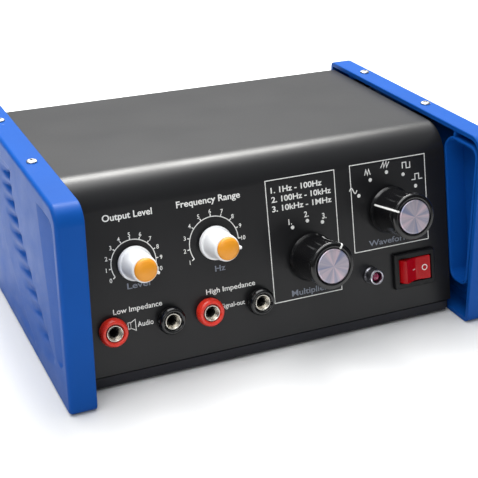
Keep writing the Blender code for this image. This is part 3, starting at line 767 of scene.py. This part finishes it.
# ---- knobs -----------------------------------
WHITE_KNOB = mm(
    (0, 13.7), (4.3, 13.7), (4.4, 14.6), (4.8, 14.8), (5.2, 14.6), (5.5, 13.8), (5.8, 10),
    (6.2, 5), (6.3, 3.6), (6.7, 3.3), (7, 3.1), (7.2, 2.6), (7.2, 1.4), (7, 1.1), (6, 1.1),
    (6, 4), (3, 4), (3, 12.2), (0, 12.2))
POINTER_FIN = mm(
    (5, 12.6), (5.8, 4.6), (6.8, 3.6), (7.3, 4.6), (6.8, 11), (6.6, 14), (6, 14.7), (5.2, 14.4))
ORANGE_DOME = mm(
    (0, 17.2), (1.2, 17.16), (2.5, 16.9), (3.6, 16.5), (4.3, 16), (4.7, 15.5), (4.8, 15.1),
    (4.6, 14.9), (4.2, 14.9), (4.2, 13.9), (0, 13.9))


def white_knob(word, at, pointer):
    body = word + "_dial"
    matrix = panel_matrix(at[0], at[1], 0.0, pointer)
    knob = turned(word + "_knob_body", eased(WHITE_KNOB, 0.00035), matrix, 96)
    finish(knob, WHITE, body, [word + "_knob"])
    half, soft = 0.0005, 0.00018  # half thickness of the pointer, easing of its edges
    middle = Vector((0.0061, 0.0095))
    rings = []
    for y, inset in ((-half, soft), (-half + soft, 0.0), (half - soft, 0.0), (half, soft)):
        ring = [Vector(p) + (middle - Vector(p)).normalized() * inset for p in POINTER_FIN]
        rings.append([(p.x, y, p.y) for p in ring])
    fin = loft(word + "_knob_pointer", rings, matrix)
    finish(fin, WHITE, body)
    cap = turned(word + "_knob_button", eased(ORANGE_DOME, 0.0003), matrix, 96)
    finish(cap, ORANGE, body, [word + "_knob_cap"])


KNOB_SIDE = mm(
    (10.7, 1.5), (10.7, 2.4), (10.4, 2.9), (10, 3.8), (9.75, 5), (9.6, 7), (9.6, 12), (9.8, 16),
    (10.1, 18.6), (10.1, 20.5), (9.6, 21.2), (8.4, 21.3), (7.8, 21.1))
KNOB_HOLLOW = mm((10.5, 1.1), (7, 1.1), (7, 5), (3.3, 5), (3.3, 17), (0, 17))
KNOB_FACE = mm((0, 21.8), (7, 21.8), (7.4, 21.5), (7.4, 20.4), (0, 20.4))


def black_knob(word, at, pointer):
    body = word + "_dial"
    matrix = panel_matrix(at[0], at[1], 0.0, pointer)
    profile = mm((0, 20.2), (7.6, 20.2)) + KNOB_SIDE[::-1] + KNOB_HOLLOW
    knob = turned(word + "_knob_body", eased(profile, 0.0004), matrix, 128)
    finish(knob, BLACK, body, [word + "_knob"])
    cap = turned(word + "_knob_face", eased(KNOB_FACE, 0.00022), matrix, 128)
    finish(cap, SPUN, body, [word + "_knob_cap"])
    side = [p for p in eased(KNOB_SIDE, 0.0004, 5) if p[1] > 0.0036]
    rings = []
    width, film = 0.00042, 0.00005
    for i, (r, h) in enumerate(side):
        before, after = side[max(i - 1, 0)], side[min(i + 1, len(side) - 1)]
        along = Vector((after[0] - before[0], after[1] - before[1])).normalized()
        out = Vector((along.y, -along.x))
        ring = []
        for swing, lift in ((-1, -1), (1, -1), (1, 1), (0.5, 1.25), (-0.5, 1.25), (-1, 1)):
            radius = r + out.x * film * lift
            angle = swing * width / max(radius, 0.001)
            ring.append((radius * math.cos(angle), radius * math.sin(angle),
                         h + out.y * film * lift))
        rings.append(ring)
    line = loft(word + "_knob_line", rings, matrix)
    finish(line, INK, body, weighted=False)


def make_knobs():
    white_knob("output", OUTPUT_AT, math.radians(-24))
    white_knob("frequency", FREQUENCY_AT, math.radians(-8))
    black_knob("multiplier", MULTIPLIER_AT, math.radians(60))
    black_knob("waveform", WAVEFORM_AT, math.radians(156))


# ---- sockets, lamp, rocker -------------------
COLLAR = mm(
    (3.7, 3.4), (4, 4.1), (4.6, 4.4), (5.2, 4.2), (5.7, 3.5), (6, 2.4), (6, GAP), (4.5, GAP),
    (4.5, -13), (3.7, -13))
SLEEVE_BORE = mm(
    (0, -14), (1.7, -14), (1.7, 1.2), (2, 2), (2.9, 3.6), (3.1, 3.9), (3.4, 3.9), (3.45, 3.5),
    (3.4, -16.5), (0, -16.5))
# Black satin cup lining the socket's bore: painted shade, a dark insert standing for the shade deep
# inside the bore.
BORE_SHADE_CUP = mm(
    (0, -4), (1.4, -4), (1.4, 0.6), (1.6, 0.9), (1.6, -4.8), (0, -4.8))
LAMP_TUBE = mm(
    (2.4, 5.5), (2.6, 6), (2.9, 6.1), (3.3, 5.9), (3.4, 5.4), (3.4, 2), (3.6, 1.6), (3.8, 1.2),
    (3.8, GAP), (2.8, GAP), (2.8, -6), (2.4, -6))
LAMP_DOME = mm(
    (0, 5.4), (0.7, 5.3), (1.3, 5), (1.8, 4.4), (2.1, 3.4), (2.1, -8), (0, -8))


def make_socket(name):
    matrix = panel_matrix(*JACK_AT[name])
    look, slot = (RED, "red_plastic") if name.endswith("red") else (BLACK, "black_plastic")
    piece = turned("socket_" + name + "_collar", eased(COLLAR, 0.0006, 5, False), matrix, 96, True)
    finish(piece, look, "case", ["socket_" + name])
    # The black cup in the bore is painted shade.
    finish(turned("contact_" + name + "_bore_shade_cup", eased(BORE_SHADE_CUP, 0.0001), matrix, 64), BLACK_SATIN,
           "case")
    finish(turned("contact_" + name + "_sleeve", eased(SLEEVE_BORE, 0.0002), matrix, 96), NICKEL,
           "case", ["contact_" + name])


def make_lamp():
    matrix = panel_matrix(*LED_AT)
    finish(turned("lamp_tube", eased(LAMP_TUBE, 0.0002, 4, False), matrix, 72, True), CHROME,
           "case", ["led_bezel"])
    finish(turned("lamp_lens", eased(LAMP_DOME, 0.0003), matrix, 48), LENS, "case", ["led_lens"])


VALLEY_Z, VALLEY_POWER = 0.0023, 1.15  # the valley's lowest point, its curve
VALLEY_REACH, VALLEY_RISE = 0.0070, 0.0019
ROCKER_PIVOT, ROCKER_TILT = -0.0004, math.radians(11)


def rocker_profile():
    """Side view of the button: a shallow valley between two raised ends."""
    radius = 0.0082
    tip = math.radians(31)
    end_x, end_z = radius * math.cos(tip), radius * math.sin(tip)
    right = [(radius * math.cos(a), radius * math.sin(a))
             for a in (math.radians(-18 + 49 * k / 10) for k in range(11))]
    top = []
    for k in range(1, 20):
        x = end_x * (1 - k / 10)
        rise = math.sqrt((x / end_x) ** 2 + 0.004) ** VALLEY_POWER
        top.append((x, VALLEY_Z + (end_z - VALLEY_Z) * rise))
    left = [(-x, z) for x, z in right[::-1]]
    return [(-0.0045, -0.0048), (0.0045, -0.0048)] + right + top + left


def make_rocker():
    matrix = panel_matrix(*ROCKER_AT)
    w, h = 0.0107, 0.0083

    def frame_ring(height, inset, radius):
        x, y = w - inset, h - inset
        outline = rounded([(-x, -y), (x, -y), (x, y), (-x, y)], [radius] * 4, 6)
        return [(*point, height) for point in outline]

    rings = ((GAP * MM, 0.0, 0.0010), (0.0012, 0.0, 0.0010), (0.0018, 0.0002, 0.0010),
             (0.0022, 0.0007, 0.0008))
    bezel = loft("rocker_surround", [frame_ring(*ring) for ring in rings], matrix)
    well = tool_box((-0.0094, -0.0064, -0.0120), (0.0094, 0.0064, 0.0010), matrix)
    combine(bezel, well, operation='UNION')
    combine(bezel, tool_box((-0.0085, -0.0058, -0.0100), (0.0085, 0.0058, 0.0050), matrix))
    finish(bezel, BLACK_SATIN, "case", ["rocker_bezel"])

    seat = panel_matrix(*ROCKER_AT, ROCKER_PIVOT) @ Matrix.Rotation(ROCKER_TILT, 4, 'Y')
    outline = [Vector(p) for p in rocker_profile()]
    middle = Vector((0.0, -0.0005))
    half, ease = 0.0054, 0.0005
    rings = []
    for along, inwards in [(0.0, ease), (ease * 0.3, ease * 0.3), (ease, 0.0)]:
        rings.append((-half + along, inwards))
    rings += [(-y, i) for y, i in rings[::-1]]
    sections = [[(p.x + (middle - p).normalized().x * i, y, p.y + (middle - p).normalized().y * i)
                 for p in outline] for y, i in rings]
    button = loft("rocker_paddle", sections, seat)
    finish(button, ROCKER_RED, "power_rocker", ["rocker_button"], angle=40.0)

    rise = math.atan2(VALLEY_RISE, VALLEY_REACH)
    for word, x, turn in (("on", 0.0043, -rise), ("off", -0.0016, rise)):
        z = VALLEY_Z + VALLEY_RISE * (abs(x) / VALLEY_REACH) ** VALLEY_POWER
        place = seat @ Matrix.Translation((x, 0.0, z)) @ Matrix.Rotation(turn, 4, 'Y')
        if word == "on":
            mark = turned("rocker_mark_ring", mm((1, -0.1), (1, 0.06), (1.4, 0.06), (1.4, -0.1)),
                          place, 48, True)
        else:
            corners = mm((-0.8, -0.18), (0.8, -0.18), (0.8, 0.18), (-0.8, 0.18))
            mark = loft("rocker_mark_bar", [[(a, b, c) for a, b in corners]
                                            for c in (-0.0001, 0.00012)], place)
        finish(mark, INK, "power_rocker")


# ---- panel print -----------------------------
FILM = 0.00003  # half thickness of the ink, m
LINE, TICK, THIN = 0.42, 0.50, 0.32  # widths of drawn lines, artwork units
DOT = 0.95  # radius of a printed dot
PRINT = bmesh.new()
FAINT = bmesh.new()


def strip(points, width, closed=False):
    """Flat ink line through (u, v) points in artwork units."""
    path = [Vector(p) for p in points]
    count = len(path)
    low, high = [], []
    for i, here in enumerate(path):
        before = path[i - 1] if (i or closed) else here
        after = path[(i + 1) % count] if (i < count - 1 or closed) else here
        a = (here - before).normalized() if (here - before).length > 1e-9 else None
        b = (after - here).normalized() if (after - here).length > 1e-9 else None
        a, b = a or b, b or a
        along = (a + b).normalized()
        side = Vector((-along.y, along.x))
        reach = width / 2 / max(side.dot(Vector((-a.y, a.x))), 0.4)
        low.append(here - side * reach)
        high.append(here + side * reach)

    def vert(p, h):
        return PRINT.verts.new((p.x * UNIT, p.y * UNIT, h))

    quads = [[vert(low[i], -FILM), vert(high[i], -FILM), vert(high[i], FILM), vert(low[i], FILM)]
             for i in range(count)]
    last = count if closed else count - 1
    for i in range(last):
        wall(PRINT, quads[i], quads[(i + 1) % count])
    if not closed:
        PRINT.faces.new(quads[0][::-1])
        PRINT.faces.new(quads[-1])


def dot(u, v):
    turns = [2 * math.pi * k / 32 for k in range(32)]
    rings = [[PRINT.verts.new(((u + DOT * math.cos(a)) * UNIT, (v + DOT * math.sin(a)) * UNIT, h))
              for a in turns] for h in (-FILM, FILM)]
    wall(PRINT, *rings)
    PRINT.faces.new(rings[0][::-1])
    PRINT.faces.new(rings[1])


def letters(text, u, v, cap, width=None, weight=0.022, sheet=PRINT, centre=False):
    """Plain sans lettering: u, v is the start of its baseline, in artwork units."""
    curve = bpy.data.curves.new("letters", 'FONT')
    curve.body = text
    curve.offset = weight
    curve.extrude = 0.5
    curve.resolution_u = 4
    obj = add("letters", curve)
    mesh = evaluated(obj)
    bpy.data.objects.remove(obj, do_unlink=True)
    xs = [p.co.x for p in mesh.vertices]
    left, right = min(xs), max(xs)
    tall = cap / 0.729
    wide = width / (right - left) if width else tall * 0.92
    shift = -(right - left) / 2 * wide if centre else 0.0
    for p in mesh.vertices:
        p.co = Vector(((u + shift + (p.co.x - left) * wide) * UNIT, (v + p.co.y * tall) * UNIT,
                       FILM if p.co.z > 0 else -FILM))
    sheet.from_mesh(mesh)
    bpy.data.meshes.remove(mesh)


def ring_scale(centre, radius, first, step, marks, tick):
    """Arc with ticks and numbers outside it."""
    def on(angle, r):
        return (centre[0] + r * math.cos(angle), centre[1] + r * math.sin(angle))

    last = first + step * (len(marks) - 1)
    strip([on(math.radians(first + (last - first) * k / 60), radius) for k in range(61)], LINE)
    for k, mark in enumerate(marks):
        angle = math.radians(first + step * k)
        strip([on(angle, radius), on(angle, radius + tick)], TICK)
        u, v = on(angle, radius + tick + 1.35)
        letters(str(mark), u, v - 1.05, 2.1, centre=True, weight=0.012)


# text, start of its baseline, height of the capitals, width, weight, sheet; artwork units
SCALE_LABELS = (
    ("Output Level", -84.1, 80.4, 3.2, 24.0, 0.018, PRINT),
    ("Frequency Range", -48.1, 81.0, 3.2, 32.4, 0.018, PRINT),
    ("Level", -75.9, 47.2, 2.9, 11.2, 0.014, FAINT),
    ("Hz", -31.8, 47.4, 2.9, 5.3, 0.014, FAINT),
    ("Low Impedance", -84.0, 36.4, 2.6, 24.0, 0.012, PRINT),
    ("High Impedance", -37.5, 37.0, 2.6, 25.6, 0.012, PRINT),
    ("Audio", -73.0, 28.4, 2.6, 7.9, 0.012, PRINT),
    ("Signal-out", -30.4, 28.6, 2.4, 12.3, 0.010, PRINT),
)
MULTIPLIER_ARC, WAVEFORM_ARC = 18.1, 19.1  # radii of the dots' arcs, artwork units


def make_print():
    unit = 1 / UNIT
    out, freq, mult, wave = [(at[0] * unit, at[1] * unit) for at in (
        OUTPUT_AT, FREQUENCY_AT, MULTIPLIER_AT, WAVEFORM_AT)]
    for label in SCALE_LABELS:
        letters(*label)
    strip([(-77.6, 28.2), (-76.3, 28.2), (-76.3, 31.2), (-77.6, 31.2)], THIN, True)
    strip([(-76.3, 28.4), (-73.9, 26.9), (-73.9, 32.3), (-76.3, 31.0)], THIN, True)
    ring_scale(out, 10.9, 209.0, -23.1, range(11), 1.2)
    ring_scale(freq, 12.5, 210.4, -23.5, range(1, 11), 1.3)

    strip([(-2.2, 25.5), (35.2, 25.5), (35.2, 86.6), (-2.2, 86.6)], LINE, True)
    for row, (text, width) in enumerate((("1. 1Hz - 100Hz", 27.6), ("2. 100Hz - 10kHz", 32.4),
                                         ("3. 10kHz - 1MHz", 32.4))):
        letters(text, 0.4, 80.2 - 4.6 * row, 2.9, width, 0.020)
    for angle, text, shift in ((117, "1.", (-1.4, 1.6)), (90, "2.", (-0.9, 2.0)),
                               (63, "3.", (0.6, 1.6))):
        a = math.radians(angle)
        u, v = mult[0] + MULTIPLIER_ARC * math.cos(a), mult[1] + MULTIPLIER_ARC * math.sin(a)
        dot(u, v)
        letters(text, u + shift[0] - 0.6, v + shift[1], 2.9, weight=0.020)
    letters("Multiplier", 7.4, 27.2, 3.1, 20.0, 0.012, FAINT)

    strip([(44.0, 42.7), (87.3, 42.7), (87.3, 87.2), (44.0, 87.2)], LINE, True)
    for angle in (150, 120, 90, 60, 30):
        a = math.radians(angle)
        dot(wave[0] + WAVEFORM_ARC * math.cos(a), wave[1] + WAVEFORM_ARC * math.sin(a))
    letters("Waveform", 52.3, 44.6, 3.0, 24.0, 0.012, FAINT)

    def symbol(angle, shift, path):
        a = math.radians(angle)
        u = wave[0] + WAVEFORM_ARC * math.cos(a) + shift[0]
        v = wave[1] + WAVEFORM_ARC * math.sin(a) + shift[1]
        strip([(u + x, v + y) for x, y in path], TICK)

    symbol(150, (-3.0, 3.0), [(-2.1 + 4.2 * k / 24, 1.5 * math.sin(2 * math.pi * k / 24))
                              for k in range(25)])
    symbol(120, (-1.4, 4.0), [(-1.6, -1.3), (-0.8, 1.4), (0.0, -1.3), (0.8, 1.4), (1.6, -1.3)])
    symbol(90, (-0.7, 3.9), [(-2.5, -1.4), (-0.9, 1.4), (-0.8, -1.4), (0.8, 1.4), (0.9, -1.4),
                             (2.4, 1.2)])
    symbol(60, (2.0, 4.5), [(-2.2, -1.5), (-2.2, 1.5), (0.0, 1.5), (0.0, -1.5), (2.2, -1.5),
                            (2.2, 1.5)])
    symbol(30, (1.0, 4.8), [(-3.2, -1.4), (-1.1, -1.4), (-1.1, 1.4), (1.1, 1.4), (1.1, -1.4),
                            (3.2, -1.4)])
    ink = as_object("panel_print", PRINT, panel_matrix(0.0, 0.0))
    finish(ink, INK, "case", weighted=False)
    ink = as_object("panel_print_faint", FAINT, panel_matrix(0.0, 0.0))
    finish(ink, FAINT_INK, "case", weighted=False)


# ---- carried-over CAD nodes ------------------
DRESS = {
    "base_tray": TRAY_PAINT_AND_SHADE, "side_plate_left": TRAY_PAINT_AND_SHADE, "side_plate_right": TRAY_PAINT_AND_SHADE,
    "rear_panel": REAR_PAINT, "mains_inlet": BLACK_SATIN, "fuse_holder": BLACK_SATIN,
    "fuse_holder_cap": BLACK, "main_board": BOARD, "filter_capacitor": SLEEVE,
    "heat_sink": ZINC, "transformer_core": CORE, "transformer_winding": WINDING,
    "rocker_terminal_left": BRASS, "rocker_terminal_right": BRASS,
    "output_pot": NICKEL, "frequency_pot": NICKEL,
    "multiplier_switch": BLACK_SATIN, "waveform_switch": BLACK_SATIN,
}


def dress_nodes():
    """Materials for the CAD solids that are shown as they are."""
    looks = dict(DRESS)
    for word in ("output_pot", "frequency_pot", "multiplier_switch", "waveform_switch"):
        looks[word + "_nut"] = looks[word + "_shaft"] = NICKEL
    for name in JACK_AT:
        looks["socket_nut_" + name] = NICKEL
    for node, look in looks.items():
        paint(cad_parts[node], look)


# ---- set, light, camera ----------------------
CAMERA_AT = (-0.18955, -0.43158, 0.24824)
CAMERA_PITCH, CAMERA_YAW = 0.432, 0.421  # radians down and to the right
FOCAL_LENGTH, SENSOR_WIDTH = 83.72, 36.0
FLOOR_RADIUS, FLOOR_DROP = 1.25, 0.0001
WHITE_LIGHT, WARM_LIGHT = (1.0, 1.0, 1.0), (1.0, 0.99, 0.96)
# name, place, aim, size, watts, colour; the strip draws the line of light along the bend
LAMPS = (
    ("overhead", (-0.15, 0.20, 1.30), (0.0, 0.0, 0.04), (1.5, 1.1), 24.0, WHITE_LIGHT),
    ("back", (0.55, 1.35, 0.75), (0.0, 0.0, 0.05), (1.4, 0.8), 2.0, WHITE_LIGHT),
    ("strip", (0.32, 0.74, 1.14), (0.0, -0.03, 0.08), (0.70, 0.40), 27.0, WARM_LIGHT),
    ("left", (-0.80, -1.15, 1.05), (0.0, 0.0, 0.03), (0.8, 0.8), 6.0, WHITE_LIGHT),
)
SKY_STOPS = ((0.05, 0.07), (0.85, 0.62))  # height of the ray, brightness
BACKDROP = (0.96, 0.96, 0.96, 1.0)


def make_stage():
    look = Look("studio_floor", specular=0.2)
    drift = look.noise(1.5, 3.0)
    look.colour(look.ramp(drift, [(0.3, (0.70, 0.70, 0.70)), (0.7, (0.74, 0.74, 0.74))]))
    look.roughness(look.span(drift, 0.65, 0.80))
    look.normal(look.bump(look.noise(400.0, 2.0), 0.03, 0.0002))
    shape = bmesh.new()
    bmesh.ops.create_circle(shape, cap_ends=True, radius=FLOOR_RADIUS, segments=96)
    floor = as_object("floor", shape, Matrix.Translation((0.0, 0.0, -FLOOR_DROP)))
    paint(floor, look.made)


def area(name, at, aim, size, power, colour):
    lamp = bpy.data.lights.new(name, 'AREA')
    lamp.shape = 'RECTANGLE'
    lamp.size, lamp.size_y = size
    lamp.energy = power
    lamp.color = colour
    obj = add(name, lamp)
    obj.location = at
    obj.rotation_euler = (Vector(aim) - Vector(at)).to_track_quat('-Z', 'Y').to_euler()


def make_light():
    world = bpy.data.worlds.new("studio")
    bpy.context.scene.world = world
    world.use_nodes = True
    tree = world.node_tree
    sky = tree.nodes["Background"]
    place = tree.nodes.new("ShaderNodeTexCoord")
    height = tree.nodes.new("ShaderNodeSeparateXYZ")
    fade = tree.nodes.new("ShaderNodeValToRGB")
    for element, (at, value) in zip(fade.color_ramp.elements, SKY_STOPS):
        element.position = at
        element.color = (value * 0.93, value * 0.97, value, 1.0)
    tree.links.new(place.outputs["Generated"], height.inputs["Vector"])
    tree.links.new(height.outputs["Z"], fade.inputs["Fac"])
    seen = tree.nodes.new("ShaderNodeLightPath")
    backdrop = tree.nodes.new("ShaderNodeMix")
    backdrop.data_type = 'RGBA'
    backdrop.inputs[7].default_value = BACKDROP
    tree.links.new(seen.outputs["Is Camera Ray"], backdrop.inputs[0])
    tree.links.new(fade.outputs["Color"], backdrop.inputs[6])
    tree.links.new(backdrop.outputs[2], sky.inputs["Color"])
    for lamp in LAMPS:
        area(*lamp)


def make_camera():
    lens_data = bpy.data.cameras.new("view")
    lens_data.lens = FOCAL_LENGTH
    lens_data.sensor_width = SENSOR_WIDTH
    lens_data.clip_start = 0.01
    view = add("view", lens_data)
    view.location = CAMERA_AT
    view.rotation_euler = (math.pi / 2 - CAMERA_PITCH, 0.0, -CAMERA_YAW)
    bpy.context.scene.camera = view
    bpy.context.scene.view_settings.view_transform = 'Standard'


make_cover()
make_end_frame(-1, "left")
make_end_frame(1, "right")
make_screws()
make_knobs()
for jack in JACK_AT:
    make_socket(jack)
make_lamp()
make_rocker()
make_print()
dress_nodes()
make_stage()
make_light()
make_camera()
